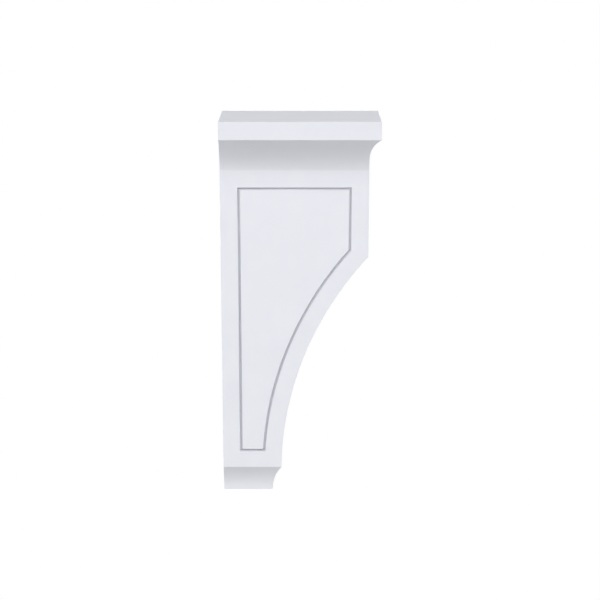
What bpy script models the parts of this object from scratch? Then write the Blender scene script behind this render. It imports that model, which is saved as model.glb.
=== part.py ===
"""A painted wooden corbel bracket: cap, body and foot carved as one piece.

The wall is the plane x = 0 and the bracket projects along +X. Z is up, and y = 0 is the middle of its
thickness. The origin is the centre of the back face.
"""

import math

import bmesh
import bpy

# Driving dimensions, in metres
PROJECTION = 0.1651
BODY_THICKNESS = 0.0436
BODY_HEIGHT = 0.3242

# Cap: a flat top, an upright fascia and a hollow cove on the front and on both sides
FASCIA_HEIGHT = 0.0185
FRONT_OVERHANG = 0.01135
SIDE_OVERHANG = 0.0200
FRONT_COVE_HEIGHT = 0.0210
FRONT_COVE_RUNOUT = 0.0132
SIDE_COVE_END_TILT = math.radians(12.0)

# Body: straight at the front, then one hollow arc back to a narrow bottom
STRAIGHT_FRONT_HEIGHT = 0.0915
BOTTOM_DEPTH = 0.0626
FRONT_ARC_RADIUS = 0.3517

# Foot: a short block with a hollow cove on the front and on both sides
FOOT_HEIGHT = 0.0289
FOOT_FRONT_SETBACK = 0.0098
FOOT_SIDE_SETBACK = 0.0085

# V-groove that outlines the panel on each side face
GROOVE_MARGIN = 0.0193
GROOVE_WIDTH = 0.0030
GROOVE_DEPTH = 0.0018

# Fineness of the curved surfaces
FRONT_ARC_SEGMENTS = 48
COVE_STEP = 0.0011
SMOOTH_BELOW = math.radians(7.0)
WELD_DISTANCE = 1e-6

# Paint
PAINT_COLOUR = (0.83, 0.842, 0.90, 1.0)
PAINT_ROUGHNESS = 0.42

# Levels and faces that follow from the sizes above
SIDE_COVE_HEIGHT = FRONT_COVE_HEIGHT + FRONT_COVE_RUNOUT
TOTAL_HEIGHT = FASCIA_HEIGHT + SIDE_COVE_HEIGHT + BODY_HEIGHT + FOOT_HEIGHT
TOP_Z = TOTAL_HEIGHT / 2
COVE_TOP_Z = TOP_Z - FASCIA_HEIGHT
BODY_TOP_Z = COVE_TOP_Z - SIDE_COVE_HEIGHT
BODY_BOTTOM_Z = BODY_TOP_Z - BODY_HEIGHT
FOOT_BOTTOM_Z = BODY_BOTTOM_Z - FOOT_HEIGHT
BODY_FRONT = PROJECTION - FRONT_OVERHANG
BODY_HALF = BODY_THICKNESS / 2
CAP_HALF = BODY_HALF + SIDE_OVERHANG


def clear_scene():
    for item in list(bpy.data.objects):
        bpy.data.objects.remove(item, do_unlink=True)


def cove_inset(drop, height, setback, end_tilt=0.0):
    """How far a hollow cove has stepped in, drop metres below its upper edge.

    The cove is one arc of a circle through both of its edges. end_tilt is the angle from upright at
    which it arrives at its lower edge, and the chord's own lean then fixes the radius.
    """
    if drop >= height:
        return setback
    half_sweep = math.atan2(setback, height) - end_tilt
    radius = math.hypot(height, setback) / (2 * math.sin(half_sweep))
    tilt = math.asin((height - drop) / radius + math.sin(end_tilt))
    return setback - radius * (math.cos(end_tilt) - math.cos(tilt))


def even_steps(start, end):
    """Depths from start to end, evenly spaced and no further apart than COVE_STEP."""
    count = max(2, math.ceil((end - start) / COVE_STEP))
    return [start + (end - start) * i / count for i in range(count + 1)]


def section(depth, half, z):
    """The four corners of a level cut through the bracket: back, front, front, back."""
    return [(0, -half, z), (depth, -half, z), (depth, half, z), (0, half, z)]


def cap_sections():
    """Level cuts from the top face down to where the side coves meet the body."""
    rings = [section(PROJECTION, CAP_HALF, TOP_Z)]
    hollow = even_steps(0, FRONT_COVE_HEIGHT)
    runout = even_steps(FRONT_COVE_HEIGHT, SIDE_COVE_HEIGHT)
    for drop in hollow + runout[1:]:
        front = cove_inset(drop, FRONT_COVE_HEIGHT, FRONT_OVERHANG)
        side = cove_inset(drop, SIDE_COVE_HEIGHT, SIDE_OVERHANG, SIDE_COVE_END_TILT)
        rings.append(section(PROJECTION - front, CAP_HALF - side, COVE_TOP_Z - drop))
    return rings


def foot_sections():
    """Level cuts from the body's bottom edge down to the foot's underside."""
    rings = []
    for drop in even_steps(0, FOOT_HEIGHT):
        front = cove_inset(drop, FOOT_HEIGHT, FOOT_FRONT_SETBACK)
        side = cove_inset(drop, FOOT_HEIGHT, FOOT_SIDE_SETBACK)
        rings.append(section(BOTTOM_DEPTH - front, BODY_HALF - side, BODY_BOTTOM_Z - drop))
    return rings


def front_arc_centre():
    """Centre (x, z) of the front's arc, out in front of the wood.

    It is as far from the foot of the straight front as from the body's lower front corner, so it lies
    square to the middle of the chord between them.
    """
    x0, z0 = BODY_FRONT, BODY_TOP_Z - STRAIGHT_FRONT_HEIGHT
    x1, z1 = BOTTOM_DEPTH, BODY_BOTTOM_Z
    half_chord = math.hypot(x1 - x0, z1 - z0) / 2
    reach = math.sqrt(FRONT_ARC_RADIUS**2 - half_chord**2)
    along = reach / (2 * half_chord)
    return (x0 + x1) / 2 + (z0 - z1) * along, (z0 + z1) / 2 + (x1 - x0) * along


def side_outline(inset):
    """The body's side outline as (x, z) points, moved inwards by inset.

    Straight edges move by the inset and the arc keeps its centre, so each line stays parallel to the
    edge and the corners stay mitred.
    """
    centre_x, centre_z = front_arc_centre()
    radius = FRONT_ARC_RADIUS + inset
    back, front = inset, BODY_FRONT - inset
    top, bottom = BODY_TOP_Z - inset, BODY_BOTTOM_Z + inset
    first = math.acos((front - centre_x) / radius)
    last = math.pi - math.asin((bottom - centre_z) / radius)
    points = [(back, bottom), (back, top), (front, top)]
    for i in range(FRONT_ARC_SEGMENTS + 1):
        angle = first + (last - first) * i / FRONT_ARC_SEGMENTS
        points.append((centre_x + radius * math.cos(angle), centre_z + radius * math.sin(angle)))
    return points


def add_ring(mesh, points):
    return [mesh.verts.new(point) for point in points]


def join_rings(mesh, first, second, closed=True):
    """Quads between two rings of as many points."""
    count = len(first)
    for i in range(count if closed else count - 1):
        j = (i + 1) % count
        mesh.faces.new((first[i], first[j], second[j], second[i]))


def add_stack(mesh, rings):
    """Walls between level cuts that lie one below the other."""
    stack = [add_ring(mesh, ring) for ring in rings]
    for upper, lower in zip(stack, stack[1:]):
        join_rings(mesh, upper, lower)
    return stack


def add_side_face(mesh, side):
    """One side of the body: margin, both walls of the V-groove and the panel inside it."""
    lip = GROOVE_WIDTH / 2
    profile = [(0, 0), (GROOVE_MARGIN - lip, 0), (GROOVE_MARGIN, GROOVE_DEPTH), (GROOVE_MARGIN + lip, 0)]
    rings = []
    for inset, depth in profile:
        y = side * (BODY_HALF - depth)
        rings.append(add_ring(mesh, [(x, y, z) for x, z in side_outline(inset)]))
    for outer, inner in zip(rings, rings[1:]):
        join_rings(mesh, outer, inner)
    mesh.faces.new(rings[-1])
    return rings[0]


def add_body(mesh):
    """Both side faces, and the back and front that join them; cap and foot close its ends."""
    near = add_side_face(mesh, -1)
    far = add_side_face(mesh, 1)
    mesh.faces.new((near[0], near[1], far[1], far[0]))
    join_rings(mesh, near[2:], far[2:], closed=False)


def paint(name):
    material = bpy.data.materials.new(name)
    material.use_nodes = True
    shader = material.node_tree.nodes["Principled BSDF"]
    shader.inputs["Base Color"].default_value = PAINT_COLOUR
    shader.inputs["Roughness"].default_value = PAINT_ROUGHNESS
    shader.inputs["Metallic"].default_value = 0.0
    return material


def make_corbel():
    mesh = bmesh.new()
    cap = add_stack(mesh, cap_sections())
    mesh.faces.new(cap[0])
    add_body(mesh)
    foot = add_stack(mesh, foot_sections())
    mesh.faces.new(foot[-1])
    bmesh.ops.remove_doubles(mesh, verts=mesh.verts, dist=WELD_DISTANCE)
    bmesh.ops.recalc_face_normals(mesh, faces=mesh.faces)
    data = bpy.data.meshes.new("corbel")
    mesh.to_mesh(data)
    mesh.free()
    data.shade_smooth()
    data.set_sharp_from_angle(angle=SMOOTH_BELOW)
    data.materials.append(paint("white_paint"))
    corbel = bpy.data.objects.new("corbel", data)
    bpy.context.scene.collection.objects.link(corbel)


clear_scene()
make_corbel()
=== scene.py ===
# %% [markdown]
# # A painted wooden corbel bracket
#
# A corbel is a bracket that stands out from a wall and carries a shelf or a worktop. This one is
# carved from one block: a cap with a hollow cove, a body whose front sweeps back in a long arc, and a
# small foot. A fine V-groove draws a panel on each side, and the whole is sprayed satin white.
#
# The lesson makes the finished surface with numpy, as profiles carried along paths, then eases its
# arrises, paints it, and lights it as a studio would.

import math

import bpy
import numpy as np
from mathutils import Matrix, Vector


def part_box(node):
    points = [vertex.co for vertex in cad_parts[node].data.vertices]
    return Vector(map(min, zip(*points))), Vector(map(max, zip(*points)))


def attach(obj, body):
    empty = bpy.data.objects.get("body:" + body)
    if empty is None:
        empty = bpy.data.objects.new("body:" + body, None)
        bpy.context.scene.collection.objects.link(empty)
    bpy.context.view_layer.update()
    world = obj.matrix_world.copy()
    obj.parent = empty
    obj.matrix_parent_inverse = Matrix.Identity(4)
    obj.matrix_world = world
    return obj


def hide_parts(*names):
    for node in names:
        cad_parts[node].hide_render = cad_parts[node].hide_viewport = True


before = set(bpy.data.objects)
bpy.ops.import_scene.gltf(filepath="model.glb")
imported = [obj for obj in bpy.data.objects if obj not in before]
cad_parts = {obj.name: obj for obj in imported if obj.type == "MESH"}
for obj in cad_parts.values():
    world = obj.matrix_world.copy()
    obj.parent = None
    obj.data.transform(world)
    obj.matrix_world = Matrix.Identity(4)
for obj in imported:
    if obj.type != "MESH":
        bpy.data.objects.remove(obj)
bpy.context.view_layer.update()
node_low, node_high = (np.array(corner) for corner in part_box("corbel"))
print("frame nodes:", sorted(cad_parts))
print("corbel box in mm:", np.round((node_high - node_low) * 1000, 2))

# %% [markdown]
# ## The sizes
#
# The frame gives the overall box. The sizes between its faces are the ones a maker would write on the
# drawing, in metres. The wall is the plane x = 0, the bracket projects along +X, z is up, and the
# origin is the centre of the flat back.

# %% Sizes from the frame and from the drawing
PROJECTION = node_high[0]
CAP_HALF = node_high[1]
TOP_Z = node_high[2]
FOOT_BOTTOM_Z = node_low[2]

FASCIA_HEIGHT = 0.0185
FRONT_OVERHANG = 0.01135
SIDE_OVERHANG = 0.0200
FRONT_COVE_HEIGHT = 0.0210
SIDE_COVE_HEIGHT = 0.0342
SIDE_COVE_END_TILT = math.radians(12.0)

STRAIGHT_FRONT_HEIGHT = 0.0915
BOTTOM_DEPTH = 0.0626
FRONT_ARC_RADIUS = 0.3517

FOOT_HEIGHT = 0.0289
FOOT_FRONT_SETBACK = 0.0098
FOOT_SIDE_SETBACK = 0.0085

GROOVE_MARGIN = 0.0193
GROOVE_WIDTH = 0.0030
GROOVE_DEPTH = 0.0018

BODY_FRONT = PROJECTION - FRONT_OVERHANG
BODY_HALF = CAP_HALF - SIDE_OVERHANG
COVE_TOP_Z = TOP_Z - FASCIA_HEIGHT
BODY_TOP_Z = COVE_TOP_Z - SIDE_COVE_HEIGHT
BODY_BOTTOM_Z = FOOT_BOTTOM_Z + FOOT_HEIGHT
print("body height in mm:", round((BODY_TOP_Z - BODY_BOTTOM_Z) * 1000, 2))

# %% [markdown]
# ## The cove's curve
#
# A cutter of one radius leaves a hollow that is an arc of a circle. The arc is known once its two
# edges and the angle at its lower edge are known, so the function takes just those. Because it works
# on a whole array of heights at once, one call gives a whole profile.


# %% The cove as a function of height
def cove_inset(drop, height, setback, end_tilt=0.0):
    """How far a hollow cove has stepped in, drop below its upper edge.

    The chord from edge to edge has a length and a lean; half the arc's sweep is that lean less the
    end tilt, and the radius is the chord over twice the sine of it. At each height the arc's tilt is
    the arcsine of the height left over the radius, plus the sine of the end tilt. Below the cove the
    inset stays at the setback.
    """
    half_sweep = math.atan2(setback, height) - end_tilt
    radius = math.hypot(height, setback) / (2 * math.sin(half_sweep))
    left = np.clip(height - drop, 0, None)
    tilt = np.arcsin(left / radius + math.sin(end_tilt))
    return setback - radius * (math.cos(end_tilt) - np.cos(tilt))


def level_cuts(depth, half, z):
    """Corners of level cuts through the bracket: back near, front near, front far, back far.

    depth, half and z are arrays of one length n, and the result is n by 4 corners by 3 coordinates.
    """
    back = np.zeros_like(z)
    x = np.stack([back, depth, depth, back], axis=1)
    y = np.stack([-half, -half, half, half], axis=1)
    return np.stack([x, y, np.repeat(z[:, None], 4, axis=1)], axis=2)


# %% [markdown]
# ## Cap and foot
#
# A joiner would run the cove along a board and mitre it round the block, and a sweep along a path
# could copy that. There is a simpler way, because every level cut through the corbel is a rectangle.
# The cap is then a stack of rectangles whose front edge and side edges step in by their own cove
# curves, and where the two coves meet the corners draw the mitre by themselves. The same function
# makes the foot.
#
# The cap's first cut is its top face, and the second is the fascia's lower edge, where the coves
# start. The front cove ends first, and the side coves run on below it.

# %% Stack the cap and the foot
COVE_STEPS = 16
RUNOUT_STEPS = 8

hollow_drop = np.linspace(0, FRONT_COVE_HEIGHT, COVE_STEPS + 1)
runout_drop = np.linspace(FRONT_COVE_HEIGHT, SIDE_COVE_HEIGHT, RUNOUT_STEPS + 1)[1:]
cove_drop = np.concatenate([hollow_drop, runout_drop])
cap_drop = np.concatenate([[0.0], cove_drop])
cap_z = np.concatenate([[TOP_Z], COVE_TOP_Z - cove_drop])
cap_front = PROJECTION - cove_inset(cap_drop, FRONT_COVE_HEIGHT, FRONT_OVERHANG)
cap_half = CAP_HALF - cove_inset(cap_drop, SIDE_COVE_HEIGHT, SIDE_OVERHANG, SIDE_COVE_END_TILT)
cap = level_cuts(cap_front, cap_half, cap_z)

foot_drop = np.linspace(0, FOOT_HEIGHT, COVE_STEPS + 1)
foot_front = BOTTOM_DEPTH - cove_inset(foot_drop, FOOT_HEIGHT, FOOT_FRONT_SETBACK)
foot_half = BODY_HALF - cove_inset(foot_drop, FOOT_HEIGHT, FOOT_SIDE_SETBACK)
foot = level_cuts(foot_front, foot_half, BODY_BOTTOM_Z - foot_drop)
print("cap levels:", len(cap), "foot levels:", len(foot))

# %% [markdown]
# ## The body's side outline
#
# The outline is a straight back, a straight front, one arc and a short bottom. The groove has to run
# parallel to all of them. A drawn curve could be offset for that, but a formula keeps every corner
# exact. So the outline is a function of an inset: straight edges move in by the inset, and the arc
# keeps its centre and grows by it. The corners come out mitred at any inset.

# %% The outline as a function of its inset
ARC_STEPS = 160


def front_arc_centre():
    """The arc's centre (x, z), as far from both ends of the arc, out in front of the wood.

    It lies square to the middle of the chord, at the root of radius squared less half chord squared.
    """
    start = np.array([BODY_FRONT, BODY_TOP_Z - STRAIGHT_FRONT_HEIGHT])
    end = np.array([BOTTOM_DEPTH, BODY_BOTTOM_Z])
    half_chord = np.linalg.norm(end - start) / 2
    reach = math.sqrt(FRONT_ARC_RADIUS**2 - half_chord**2)
    square_to_chord = np.array([start[1] - end[1], end[0] - start[0]]) / (2 * half_chord)
    return (start + end) / 2 + square_to_chord * reach


ARC_CENTRE = front_arc_centre()


def side_outline(inset):
    """The side outline as (x, z) points, moved inwards by inset.

    The front half runs down: the top corner, then the arc from its meeting with the front line
    (angle arccos of the gap over the radius) to its meeting with the bottom line (pi less the arcsine
    of the gap over the radius). The back half repeats the same heights on the back line, going up, so
    that strips can join the two halves.
    """
    radius = FRONT_ARC_RADIUS + inset
    front, bottom = BODY_FRONT - inset, BODY_BOTTOM_Z + inset
    first = math.acos((front - ARC_CENTRE[0]) / radius)
    last = math.pi - math.asin((bottom - ARC_CENTRE[1]) / radius)
    angle = np.linspace(first, last, ARC_STEPS + 1)
    arc = ARC_CENTRE + radius * np.stack([np.cos(angle), np.sin(angle)], axis=1)
    going_down = np.concatenate([[[front, BODY_TOP_Z - inset]], arc])
    back_line = np.stack([np.full(len(going_down), inset), going_down[:, 1]], axis=1)
    return np.concatenate([back_line[::-1], going_down])


print("arc centre in mm:", np.round(ARC_CENTRE * 1000, 1), "outline points:", len(side_outline(0)))

# %% [markdown]
# ## The V-groove
#
# A pointed cutter makes the groove, and primer and paint then round its lips and fill its bottom a
# little. A Boolean could cut it too, but it would leave slivers along the arc, so here the groove is
# part of the side face from the start. Its cross-section is a list of pairs: how far in from the
# outline, and how deep. The lips and the bottom are short arcs tangent to the walls, so the groove
# needs no bevel later.

# %% The groove's cross-section
LIP_RADIUS = 0.0002
VALLEY_RADIUS = 0.0005
LIP_STEPS = 4
VALLEY_STEPS = 8


def groove_profile():
    """Pairs (inset, depth) across the side face, from the outline to the panel's edge.

    The wall leans at the arctangent of depth over half width. A lip of radius r starts r times the
    tangent of half the lean before the wall, and point a on it is (r sin a, r - r cos a). The valley
    is the arc of its own radius that touches both walls.
    """
    half = GROOVE_WIDTH / 2
    lean = math.atan2(GROOVE_DEPTH, half)
    a = np.linspace(0, lean, LIP_STEPS + 1)
    lip = np.stack([LIP_RADIUS * np.sin(a), LIP_RADIUS * (1 - np.cos(a))], axis=1)
    lip[:, 0] -= half + LIP_RADIUS * math.tan(lean / 2)
    b = np.linspace(-lean, lean, VALLEY_STEPS + 1)
    valley_centre = GROOVE_DEPTH - VALLEY_RADIUS / math.cos(lean)
    valley = np.stack([VALLEY_RADIUS * np.sin(b), valley_centre + VALLEY_RADIUS * np.cos(b)], axis=1)
    groove = np.concatenate([lip, valley, lip[::-1] * [-1, 1]]) + [GROOVE_MARGIN, 0]
    return np.concatenate([[[0.0, 0.0]], groove])


profile = groove_profile()
BOTTOM_OF_GROOVE = profile[:, 1].max()
print("groove is", round(BOTTOM_OF_GROOVE * 1000, 2), "mm deep, with", len(profile), "points across")

# %% [markdown]
# ## One closed surface
#
# Carrying the cross-section round the outline gives a grid: one row for each point across, one column
# for each point round. Two such grids, the strips that join them and the two stacks share their
# border points, so welding equal points closes the surface. Nothing is cut out of anything, and all
# faces are quads that point outwards.

# %% Grids, patches and the weld
MICROMETRES_IN_A_METRE = 1e6
MIRROR = np.array([1, -1, 1])


def grid_quads(rows, columns, round_trip):
    """Corner indices of the quads of a grid; round_trip joins the last column to the first."""
    strips = columns if round_trip else columns - 1
    i, j = np.meshgrid(np.arange(rows - 1), np.arange(strips), indexing="ij")
    k = (j + 1) % columns
    quads = [i * columns + j, (i + 1) * columns + j, (i + 1) * columns + k, i * columns + k]
    return np.stack(quads, axis=2).reshape(-1, 4)


def grid_patch(points, round_trip=False):
    """A patch (points, quads) from points laid out in rows and columns."""
    rows, columns = points.shape[:2]
    return points.reshape(-1, 3), grid_quads(rows, columns, round_trip)


def side_grid():
    """The near side: rows follow the cross-section inwards, and columns go round the outline."""
    rows = [np.insert(side_outline(inset), 1, depth - BODY_HALF, axis=1) for inset, depth in profile]
    return np.stack(rows)


def mirrored(patch):
    """The patch on the far side, with its quads turned round so that they still face out."""
    points, quads = patch
    return points * MIRROR, quads[:, ::-1]


def weld(patches):
    """Joins patches into one mesh, making points that round to the same micrometre one."""
    starts = np.cumsum([0] + [len(points) for points, _ in patches[:-1]])
    points = np.concatenate([points for points, _ in patches])
    quads = np.concatenate([quads + start for (_, quads), start in zip(patches, starts)])
    rounded = np.round(points * MICROMETRES_IN_A_METRE)
    _, first, index = np.unique(rounded, axis=0, return_index=True, return_inverse=True)
    return points[first], index.reshape(-1)[quads]


# %% [markdown]
# The outer row of the side grid is the body's edge, and the inner row is the panel's. Each splits
# into a half that goes up the back and a half that goes down the front. The panel is the strip
# between its own two halves, and the body's front and back are strips from an edge to its mirror
# image on the far side.

# %% Put the patches together
near_side = side_grid()
half_way = near_side.shape[1] // 2
panel_back, panel_front = near_side[-1, :half_way][::-1], near_side[-1, half_way:]
edge_back, edge_front = near_side[0, :half_way][::-1], near_side[0, half_way:]

patches = {
    "margin": grid_patch(near_side[:2], round_trip=True),
    "groove": grid_patch(near_side[1:], round_trip=True),
    "panel": grid_patch(np.stack([panel_back, panel_front], axis=1)),
    "front": grid_patch(np.stack([edge_front, edge_front * MIRROR], axis=1)),
    "back": grid_patch(np.stack([edge_back * MIRROR, edge_back], axis=1)),
    "cap": grid_patch(cap, round_trip=True),
    "foot": grid_patch(foot, round_trip=True),
    "top": (cap[0], np.array([[0, 1, 2, 3]])),
    "underside": (foot[-1], np.array([[3, 2, 1, 0]])),
}
for name in ("margin", "groove", "panel"):
    patches["far " + name] = mirrored(patches[name])
corbel_points, corbel_quads = weld(list(patches.values()))
patch_of_quad = np.repeat(list(patches), [len(quads) for _, quads in patches.values()])
print("points:", len(corbel_points), "quads:", len(corbel_quads))

# %% [markdown]
# ## Into Blender, and a test that it is closed
#
# A closed surface has exactly two faces on each edge. Counting the loops on each edge shows that none
# is open, and sorting the loops by edge puts each edge's two faces side by side, which gives the
# angle between them. A point attribute keeps how deep in the groove each point lies, from 0 on the
# face to 1 at the bottom, for the paint to read later.


# %% Make the mesh and measure its edges
def make_mesh(name, points, quads):
    """A smooth-shaded mesh from arrays of points and of the quads between them."""
    mesh = bpy.data.meshes.new(name)
    mesh.from_pydata(points.tolist(), [], quads.tolist())
    mesh.polygons.foreach_set("use_smooth", np.ones(len(mesh.polygons), dtype=bool))
    mesh.update()
    return mesh


def edges_and_faces(mesh):
    """For each edge, the numbers of its two faces and the angle between them in radians."""
    edge_of_loop = np.empty(len(mesh.loops), dtype=np.int32)
    mesh.loops.foreach_get("edge_index", edge_of_loop)
    corners = np.empty(len(mesh.polygons), dtype=np.int32)
    mesh.polygons.foreach_get("loop_total", corners)
    normals = np.empty(len(mesh.polygons) * 3)
    mesh.polygons.foreach_get("normal", normals)
    normals = normals.reshape(-1, 3)
    assert (np.bincount(edge_of_loop) == 2).all(), "an edge is open"
    face_of_loop = np.repeat(np.arange(len(corners)), corners)
    pairs = face_of_loop[np.argsort(edge_of_loop, kind="stable")].reshape(-1, 2)
    cosine = (normals[pairs[:, 0]] * normals[pairs[:, 1]]).sum(axis=1)
    return pairs, np.arccos(np.clip(cosine, -1, 1))


def add_attribute(mesh, name, kind, domain, values):
    """Gives the mesh a named attribute, with one value for each point or edge."""
    mesh.attributes.new(name, kind, domain).data.foreach_set("value", values)


corbel_mesh = make_mesh("corbel_painted", corbel_points, corbel_quads)
faces_of_edge, angles = edges_and_faces(corbel_mesh)

groove_points = np.unique(corbel_quads[np.isin(patch_of_quad, ["groove", "far groove"])])
recess = np.zeros(len(corbel_points), dtype=np.float32)
recess[groove_points] = (BODY_HALF - np.abs(corbel_points[groove_points, 1])) / BOTTOM_OF_GROOVE
add_attribute(corbel_mesh, "recess", "FLOAT", "POINT", recess)
print("edges:", len(angles), "all closed; points in the grooves:", int((recess > 0).sum()))

# %% [markdown]
# ## Eased arrises
#
# A painter sands every sharp arris lightly, because paint pulls thin over a knife edge. Where the side
# coves land on the body the cutter leaves a shallow crease instead, and sanding and paint soften it
# over two or three millimetres. Rounding them in the formulas would tangle these, so a Bevel modifier
# that reads edge weights does both, each with its own width, and a Weighted Normal keeps the big
# faces flat. The groove has its own round lips, so its edges keep no weight.

# %% Choose the arrises and ease them
ARRIS_WIDTH = 0.0003
LANDING_WIDTH = 0.0012
ARRIS_ANGLE = math.radians(25)
EASING_SEGMENTS = 3
LARGEST_FACE_WINS = 100

patches_of_edge = patch_of_quad[faces_of_edge]
in_groove = np.isin(patches_of_edge, ["groove", "far groove"]).any(axis=1)
is_arris = (angles > ARRIS_ANGLE) & ~in_groove
on_cap = (patches_of_edge == "cap").any(axis=1)
on_side = np.isin(patches_of_edge, ["margin", "far margin"]).any(axis=1)
is_landing = on_cap & on_side
eased_width = np.select([is_landing, is_arris], [LANDING_WIDTH, ARRIS_WIDTH], 0)
bevel_share = (eased_width / LANDING_WIDTH).astype(np.float32)
add_attribute(corbel_mesh, "bevel_weight_edge", "FLOAT", "EDGE", bevel_share)

corbel = bpy.data.objects.new("corbel_painted", corbel_mesh)
bpy.context.scene.collection.objects.link(corbel)
ease = corbel.modifiers.new("eased arrises", "BEVEL")
ease.limit_method = "WEIGHT"
ease.width = LANDING_WIDTH
ease.segments = EASING_SEGMENTS
ease.use_clamp_overlap = False
flatten = corbel.modifiers.new("flat faces", "WEIGHTED_NORMAL")
flatten.weight = LARGEST_FACE_WINS
print("eased edges:", int((eased_width > 0).sum()), "of them landings:", int(is_landing.sum()))

# %% [markdown]
# ## Small helpers for node work
#
# Materials below are built from node groups, one for each thing that happens to painted wood and
# one for the painted shade in the groove. A few helpers keep that short. One makes a group with named
# inputs and outputs. Another makes a node, gives it its settings, and either links each input or sets
# its value, and the rest call that one for the nodes that come up most often.


# %% Helpers for groups and nodes
def new_group(name, inputs, outputs):
    """A node group with named sockets: the tree, the outputs of its input node, its output node."""
    tree = bpy.data.node_groups.new(name, "ShaderNodeTree")
    for way, sockets in (("INPUT", inputs), ("OUTPUT", outputs)):
        for socket, kind in sockets.items():
            tree.interface.new_socket(socket, in_out=way, socket_type="NodeSocket" + kind)
    return tree, tree.nodes.new("NodeGroupInput").outputs, tree.nodes.new("NodeGroupOutput")


def add_node(tree, kind, inputs, **settings):
    """A shader node, with each input linked if it is given a socket and set if it is given a value."""
    node = tree.nodes.new("ShaderNode" + kind)
    for name, value in settings.items():
        setattr(node, name, value)
    for key, value in inputs.items():
        if isinstance(value, bpy.types.NodeSocket):
            tree.links.new(value, node.inputs[key])
        else:
            node.inputs[key].default_value = value
    return node


def maths(tree, operation, first, second, third=0.0):
    """The output of a Math node."""
    return add_node(tree, "Math", {0: first, 1: second, 2: third}, operation=operation).outputs[0]


def noise(tree, place, scale, detail, distortion=0.0):
    """The output of a Noise node; scale is how many of its blobs lie along one unit of place."""
    inputs = {"Vector": place, "Scale": scale, "Detail": detail, "Distortion": distortion}
    return add_node(tree, "TexNoise", inputs).outputs["Fac"]


def ramp(tree, value, start, end, low=0.0, high=1.0):
    """A smooth step: low up to start, high from end on."""
    spans = {"Value": value, "From Min": start, "From Max": end, "To Min": low, "To Max": high}
    return add_node(tree, "MapRange", spans, interpolation_type="SMOOTHSTEP").outputs["Result"]


def blend(tree, factor, first, second):
    """Two colours mixed by a factor: the Mix node keeps its colour sockets at 6, 7 and output 2."""
    return add_node(tree, "Mix", {0: factor, 6: first, 7: second}, data_type="RGBA").outputs[2]


def place_group(tree, group, **inputs):
    """Puts a group into a material; underscores in the names stand for spaces."""
    named = {key.replace("_", " "): value for key, value in inputs.items()}
    return add_node(tree, "Group", named, node_tree=group).outputs


# %% [markdown]
# ## Spray stipple
#
# Paint from a spray gun lands as fine drops that flow together but never quite level. What is left is
# a stipple about a millimetre across and a few thousandths of one deep, and where the coat went on
# wetter it dried a little glossier. That is too shallow to be worth a mesh, and an image would show
# seams, so it is noise on the piece's own coordinates. The fine noise is a height for the bump, and a
# noise many times as wide is the patchy gloss.

# %% The stipple group
PATCH_WIDTH_IN_DROPS = 14.0
DROP_DETAIL = 1.5
PATCH_DETAIL = 2.0
DRY_BELOW, WET_ABOVE = 0.3, 0.7

stipple, given, result = new_group(
    "spray_stipple",
    {"Position": "Vector", "Drop Width": "Float"},
    {"Height": "Float", "Wetness": "Float"},
)
drops_per_metre = maths(stipple, "DIVIDE", 1.0, given["Drop Width"])
patches_per_metre = maths(stipple, "DIVIDE", drops_per_metre, PATCH_WIDTH_IN_DROPS)
drops = noise(stipple, given["Position"], drops_per_metre, DROP_DETAIL)
wet = noise(stipple, given["Position"], patches_per_metre, PATCH_DETAIL)
stipple.links.new(drops, result.inputs["Height"])
stipple.links.new(ramp(stipple, wet, DRY_BELOW, WET_ABOVE), result.inputs["Wetness"])
print("group:", stipple.name)

# %% [markdown]
# ## Grain under the paint
#
# The block's grain runs up the bracket. Primer fills it, but as the wood dries the harder lines stand
# up again by a few thousandths of a millimetre and show through the paint. A noise squeezed across the
# grain and drawn out along it gives such lines, its finer octaves break them up, and a little
# distortion lets them wander.

# %% The grain group
GRAIN_DETAIL = 4.0
GRAIN_WANDER = 0.4
SOFT_BELOW, HARD_ABOVE = 0.35, 0.7

grain, given, result = new_group(
    "grain_under_paint",
    {"Position": "Vector", "Line Spacing": "Float", "Line Length": "Float"},
    {"Height": "Float"},
)
across_grain = maths(grain, "DIVIDE", 1.0, given["Line Spacing"])
along_grain = maths(grain, "DIVIDE", 1.0, given["Line Length"])
density = add_node(grain, "CombineXYZ", {"X": across_grain, "Y": across_grain, "Z": along_grain})
scaling = {0: given["Position"], 1: density.outputs["Vector"]}
stretched = add_node(grain, "VectorMath", scaling, operation="MULTIPLY").outputs["Vector"]
lines = noise(grain, stretched, 1.0, GRAIN_DETAIL, GRAIN_WANDER)
grain.links.new(ramp(grain, lines, SOFT_BELOW, HARD_ABOVE), result.inputs["Height"])
print("group:", grain.name)

# %% [markdown]
# ## Painted shade in the groove
#
# The groove's colour is painted darker: a grey that stands in for the shade falling into the narrow
# recess, so the line reads as a soft pencil grey. The group mixes the paint towards that grey over
# about the first eighth of the groove's depth. A wall that faces up gets more painted shade than one
# that faces down, which evens out the light falling on the two walls, so the upward part of the
# normal changes the cover, and a slow noise keeps the line from being quite even.

# %% The painted groove shade group
FULL_GREY_FROM = 0.12
DRIFTS_PER_METRE = 60.0
DRIFT_DETAIL = 2.0

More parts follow.
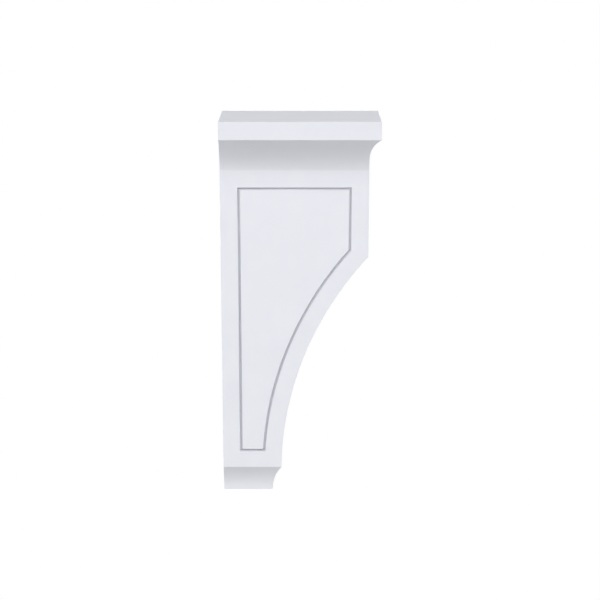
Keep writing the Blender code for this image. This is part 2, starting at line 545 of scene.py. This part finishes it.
painted_groove, given, result = new_group(
    "painted_groove_shade",
    {
        "Position": "Vector",
        "Paint": "Color",
        "Shade": "Color",
        "Recess": "Float",
        "Cover": "Float",
        "Settling": "Float",
        "Unevenness": "Float",
    },
    {"Colour": "Color"},
)
# painted shade: the deeper in the groove, the more the colour goes towards the shade grey
deep = ramp(painted_groove, given["Recess"], 0.0, FULL_GREY_FROM)
drift = noise(painted_groove, given["Position"], DRIFTS_PER_METRE, DRIFT_DETAIL)
loss = maths(painted_groove, "MULTIPLY", drift, given["Unevenness"])
# more painted shade on walls that face up, which the lights make brighter, and less on walls that face
# down
facing = add_node(painted_groove, "NewGeometry", {}).outputs["Normal"]
upward = add_node(painted_groove, "SeparateXYZ", {"Vector": facing}).outputs["Z"]
cover = maths(painted_groove, "MULTIPLY_ADD", upward, given["Settling"], given["Cover"])
patchy = maths(painted_groove, "MULTIPLY", cover, maths(painted_groove, "SUBTRACT", 1.0, loss))
amount = maths(painted_groove, "MULTIPLY", deep, patchy)
painted_groove.links.new(blend(painted_groove, amount, given["Paint"], given["Shade"]), result.inputs["Colour"])
print("group:", painted_groove.name)

# %% [markdown]
# ## Thin paint on the arrises
#
# A coat pulls away from an arris as it dries, and handling polishes it there, so a trace of the primer
# shows along each edge. The Bevel node gives the normal that a rounder edge would have; where it
# differs from the real normal, the point is near an edge. One less the two normals' dot product is
# how far they differ, and a ramp of it is the mask.

# %% The thin arris group
EDGE_NORMAL_SAMPLES = 6
EDGE_FROM, EDGE_FULL = 0.02, 0.25

arris, given, result = new_group("thin_arris", {"Reach": "Float"}, {"Mask": "Float"})
rounder = add_node(arris, "Bevel", {"Radius": given["Reach"]}, samples=EDGE_NORMAL_SAMPLES)
real = add_node(arris, "NewGeometry", {})
normals = {0: rounder.outputs["Normal"], 1: real.outputs["Normal"]}
alike = add_node(arris, "VectorMath", normals, operation="DOT_PRODUCT").outputs["Value"]
away = maths(arris, "SUBTRACT", 1.0, alike)
arris.links.new(ramp(arris, away, EDGE_FROM, EDGE_FULL), result.inputs["Mask"])
print("group:", arris.name)

# %% [markdown]
# ## The two finishes
#
# The faces that show have a satin white topcoat over primer. Its white leans slightly to blue, as
# cool whites do. The back goes against a wall, so it only has the primer: flatter, a little greyer,
# with the grain and the planer's marks plainer to see, and with some topcoat that drifted round the
# edges. Both are made from the same groups with other values.

# %% Colours and steps that the finishes share
TOPCOAT = (0.828, 0.842, 0.900, 1)
TOPCOAT_DENSE = (0.836, 0.849, 0.905, 1)
PRIMER = (0.775, 0.785, 0.815, 1)
PRIMER_RUBBED = (0.725, 0.730, 0.750, 1)
# painted shade: the grey that stands in for the shade in the groove's recess
GROOVE_PAINTED_SHADE = (0.495, 0.491, 0.547, 1)
DROP_WIDTH = 0.0011
DROP_RELIEF = 0.000004
GRAIN_SPACING = 0.0016
GRAIN_LENGTH = 0.060


def start_material(name):
    """A material, its tree and its Principled shader."""
    material = bpy.data.materials.new(name)
    material.use_nodes = True
    return material, material.node_tree, material.node_tree.nodes["Principled BSDF"]


def start_finish(name):
    """A painted finish: what start_material gives, the piece's own place, spray and grain."""
    material, tree, shader = start_material(name)
    position = add_node(tree, "TexCoord", {}).outputs["Object"]
    spray = place_group(tree, stipple, Position=position, Drop_Width=DROP_WIDTH)
    wood = place_group(
        tree, grain, Position=position, Line_Spacing=GRAIN_SPACING, Line_Length=GRAIN_LENGTH
    )
    return material, tree, shader, position, spray, wood


def relief(tree, first, first_height, second, second_height):
    """The normal of two height patterns added together, each with its own height in metres."""
    lower = maths(tree, "MULTIPLY", first, first_height)
    both = maths(tree, "MULTIPLY_ADD", second, second_height, lower)
    return add_node(tree, "Bump", {"Height": both, "Distance": 1.0}).outputs["Normal"]


print("topcoat:", TOPCOAT[:3], "primer:", PRIMER[:3])

# %% [markdown]
# ### The topcoat
#
# Wetter patches dried a shade denser and glossier. Half of the primer's colour comes through at the
# very edge of an arris, and the groove's painted shade goes over all of it.

# %% Satin white topcoat
TOPCOAT_GRAIN_RELIEF = 0.000005
ARRIS_REACH = 0.0008
ARRIS_WEAR = 0.5
# painted shade in the groove: how much grey an upright wall gets, how much more a wall facing up gets
# to even out the light, and how uneven it is
GROOVE_SHADE_COVER = 0.75
GROOVE_SHADE_UPSHIFT = 0.32
GROOVE_SHADE_UNEVENNESS = 0.1
TOPCOAT_ROUGHNESS_DRY, TOPCOAT_ROUGHNESS_WET = 0.46, 0.40

topcoat, tree, shader, position, spray, wood = start_finish("satin_white_topcoat")
edges = place_group(tree, arris, Reach=ARRIS_REACH)
recess_depth = add_node(tree, "Attribute", {}, attribute_name="recess").outputs["Fac"]

film = blend(tree, spray["Wetness"], TOPCOAT, TOPCOAT_DENSE)
worn = blend(tree, maths(tree, "MULTIPLY", edges["Mask"], ARRIS_WEAR), film, PRIMER)
# painted shade: the colour is darkened towards the grey where the recess attribute says the groove is
# deep
shaded = place_group(
    tree,
    painted_groove,
    Position=position,
    Paint=worn,
    Shade=GROOVE_PAINTED_SHADE,
    Recess=recess_depth,
    Cover=GROOVE_SHADE_COVER,
    Settling=GROOVE_SHADE_UPSHIFT,
    Unevenness=GROOVE_SHADE_UNEVENNESS,
)
gloss = ramp(tree, spray["Wetness"], 0.0, 1.0, TOPCOAT_ROUGHNESS_DRY, TOPCOAT_ROUGHNESS_WET)
surface = relief(tree, spray["Height"], DROP_RELIEF, wood["Height"], TOPCOAT_GRAIN_RELIEF)
tree.links.new(shaded["Colour"], shader.inputs["Base Color"])
tree.links.new(gloss, shader.inputs["Roughness"])
tree.links.new(surface, shader.inputs["Normal"])
corbel_mesh.materials.append(topcoat)
print("finish:", topcoat.name)

# %% [markdown]
# ### The back
#
# A planer leaves shallow waves across the grain, one for each cut of its knives. At scale 1 the Wave
# texture repeats after tau / 20, so its scale here is that over the pitch. The overspray reaches in
# from the edges as far as the arris mask does, and patches of spray make its border ragged.

# %% Primed back
PLANER_PITCH = 0.0021
PLANER_RELIEF = 0.000006
PLANER_WANDER = 0.6
PLANER_DETAIL = 1.0
WAVE_PERIOD = math.tau / 20
BACK_GRAIN_RELIEF = 0.000012
RUBBED_SHARE = 0.5
OVERSPRAY_REACH = 0.005
OVERSPRAY_RAGGEDNESS = 0.3
OVERSPRAY_FROM, OVERSPRAY_FULL = 0.3, 0.8
PRIMER_ROUGHNESS, OVERSPRAY_ROUGHNESS = 0.72, 0.50
WALL_TOLERANCE = 1e-6

primed, tree, shader, position, spray, wood = start_finish("primed_back")
waves = {
    "Vector": position,
    "Scale": WAVE_PERIOD / PLANER_PITCH,
    "Distortion": PLANER_WANDER,
    "Detail": PLANER_DETAIL,
}
knife_marks = add_node(tree, "TexWave", waves, bands_direction="Z").outputs["Fac"]
edges = place_group(tree, arris, Reach=OVERSPRAY_REACH)
ragged = maths(tree, "MULTIPLY_ADD", spray["Wetness"], OVERSPRAY_RAGGEDNESS, edges["Mask"])
drifted = ramp(tree, ragged, OVERSPRAY_FROM, OVERSPRAY_FULL)
rubbed = blend(tree, maths(tree, "MULTIPLY", wood["Height"], RUBBED_SHARE), PRIMER, PRIMER_RUBBED)
gloss = ramp(tree, drifted, 0.0, 1.0, PRIMER_ROUGHNESS, OVERSPRAY_ROUGHNESS)
surface = relief(tree, knife_marks, PLANER_RELIEF, wood["Height"], BACK_GRAIN_RELIEF)
tree.links.new(blend(tree, drifted, rubbed, TOPCOAT), shader.inputs["Base Color"])
tree.links.new(gloss, shader.inputs["Roughness"])
tree.links.new(surface, shader.inputs["Normal"])
corbel_mesh.materials.append(primed)

is_back = corbel_points[corbel_quads, 0].max(axis=1) < WALL_TOLERANCE
corbel_mesh.polygons.foreach_set("material_index", is_back.astype(np.int32))
print("finish:", primed.name, "on", int(is_back.sum()), "quads of the back")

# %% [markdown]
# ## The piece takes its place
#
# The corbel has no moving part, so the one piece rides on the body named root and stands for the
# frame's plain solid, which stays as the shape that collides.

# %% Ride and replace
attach(corbel, "root")
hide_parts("corbel")
print("corbel_painted replaces corbel")

# %% [markdown]
# ## A white studio
#
# The bracket is shown as if hung in front of a white sweep, with no shadow near it. The floor lies
# well below. It is pale to the light that falls on it, so that it throws light back up into the
# coves, and plain white to the camera, as an overexposed sweep is. The sky is white to the camera
# too, and gives the bracket only a trace of light from all round.

# %% The floor
FLOOR_DROP = 1.5
FLOOR_SIZE = 60.0
FLOOR_COLOUR = (0.77, 0.77, 0.77, 1)
FLOOR_ROUGHNESS = 0.9

FLOOR_Z = FOOT_BOTTOM_Z - FLOOR_DROP
floor_square = np.array([[-1, -1, 0], [1, -1, 0], [1, 1, 0], [-1, 1, 0]]) * FLOOR_SIZE / 2
floor_mesh = make_mesh("floor", floor_square + [0, 0, FLOOR_Z], np.array([[0, 1, 2, 3]]))
floor = bpy.data.objects.new("floor", floor_mesh)
bpy.context.scene.collection.objects.link(floor)

pale, tree, shader = start_material("pale_floor")
shader.inputs["Base Color"].default_value = FLOOR_COLOUR
shader.inputs["Roughness"].default_value = FLOOR_ROUGHNESS
white = add_node(tree, "Emission", {"Strength": 1.0}).outputs["Emission"]
seen = add_node(tree, "LightPath", {}).outputs["Is Camera Ray"]
either = add_node(tree, "MixShader", {0: seen, 1: shader.outputs["BSDF"], 2: white}).outputs["Shader"]
tree.links.new(either, tree.nodes["Material Output"].inputs["Surface"])
floor_mesh.materials.append(pale)
print("floor at z =", round(FLOOR_Z, 3))

# %% The sky
SKY_LIGHT = 0.03
world = bpy.data.worlds.new("studio")
bpy.context.scene.world = world
world.use_nodes = True
tree = world.node_tree
sky = tree.nodes["Background"]
sky.inputs["Color"].default_value = (1, 1, 1, 1)
seen = add_node(tree, "LightPath", {}).outputs["Is Camera Ray"]
tree.links.new(ramp(tree, seen, 0.0, 1.0, SKY_LIGHT, 1.0), sky.inputs["Strength"])
print("sky:", SKY_LIGHT, "to the object, 1 to the camera")

# %% [markdown]
# ## Softboxes
#
# The side face is evenly bright, the top is darker, and the coves shade smoothly from their upper edge
# down. So the main light stands high on the camera's side, with weaker ones beside and above it. A
# nearer, broader one low down keeps the coves' undersides open. Two strong ones behind light the back
# and the far side, which the camera doesn't see. All but the key, the overhead and the low one come
# in pairs, one to each side.

# %% Aim softboxes at the corbel
BOX_DISTANCE = 4.0
BOX_SIDE = 1.2
PAIRS = {
    "high": {"azimuth": 50, "elevation": 50, "power": 18},
    "side": {"azimuth": 60, "elevation": 30, "power": 40},
    "back": {"azimuth": 145, "elevation": 10, "power": 75},
}


def softbox(name, azimuth, elevation, power, distance=BOX_DISTANCE, side=BOX_SIDE):
    """A square area light that looks at the corbel's middle.

    Azimuth 0 is the camera's side and 90 is in front of the corbel; both angles are in degrees.
    """
    turn, lift = math.radians(azimuth), math.radians(elevation)
    out = Vector((math.sin(turn) * math.cos(lift), -math.cos(turn) * math.cos(lift), math.sin(lift)))
    light = bpy.data.lights.new(name, "AREA")
    light.shape = "SQUARE"
    light.size = side
    light.energy = power
    lamp = bpy.data.objects.new(name, light)
    lamp.location = Vector((PROJECTION / 2, 0, 0)) + out * distance
    lamp.rotation_mode = "QUATERNION"
    lamp.rotation_quaternion = (-out).to_track_quat("-Z", "Y")
    bpy.context.scene.collection.objects.link(lamp)


softbox("key", azimuth=0, elevation=50, power=45)
softbox("overhead", azimuth=0, elevation=65, power=28)
for pair, aim in PAIRS.items():
    softbox(pair + "_left", -aim["azimuth"], aim["elevation"], aim["power"])
    softbox(pair + "_right", aim["azimuth"], aim["elevation"], aim["power"])
softbox("low_fill", azimuth=0, elevation=-20, power=19, distance=3.0, side=1.5)

# %% [markdown]
# ## Camera
#
# A fairly long lens, level with a point a little above the cap and tipped down, so that the top face
# just shows and upright edges hardly lean. Its distance is from the fascia's near face and its height
# is from the cap's top, the two faces of the bracket that fix it best.

# %% Place the camera
IMAGE_SIDE = 600
FOCAL_PIXELS = 1520.87
SENSOR_WIDTH = 36.0
CAMERA_PITCH = math.radians(14.735)
CAMERA_TO_FASCIA = 1.52387
CAMERA_ABOVE_TOP = 0.21574

camera_data = bpy.data.cameras.new("camera")
camera_data.sensor_width = SENSOR_WIDTH
camera_data.lens = SENSOR_WIDTH * FOCAL_PIXELS / IMAGE_SIDE
camera = bpy.data.objects.new("camera", camera_data)
camera.location = (PROJECTION / 2, -CAP_HALF - CAMERA_TO_FASCIA, TOP_Z + CAMERA_ABOVE_TOP)
camera.rotation_euler = (math.pi / 2 - CAMERA_PITCH, 0, 0)
bpy.context.scene.collection.objects.link(camera)
bpy.context.scene.camera = camera
bpy.context.scene.view_settings.view_transform = "Standard"
print("lens in mm:", round(camera_data.lens, 1))
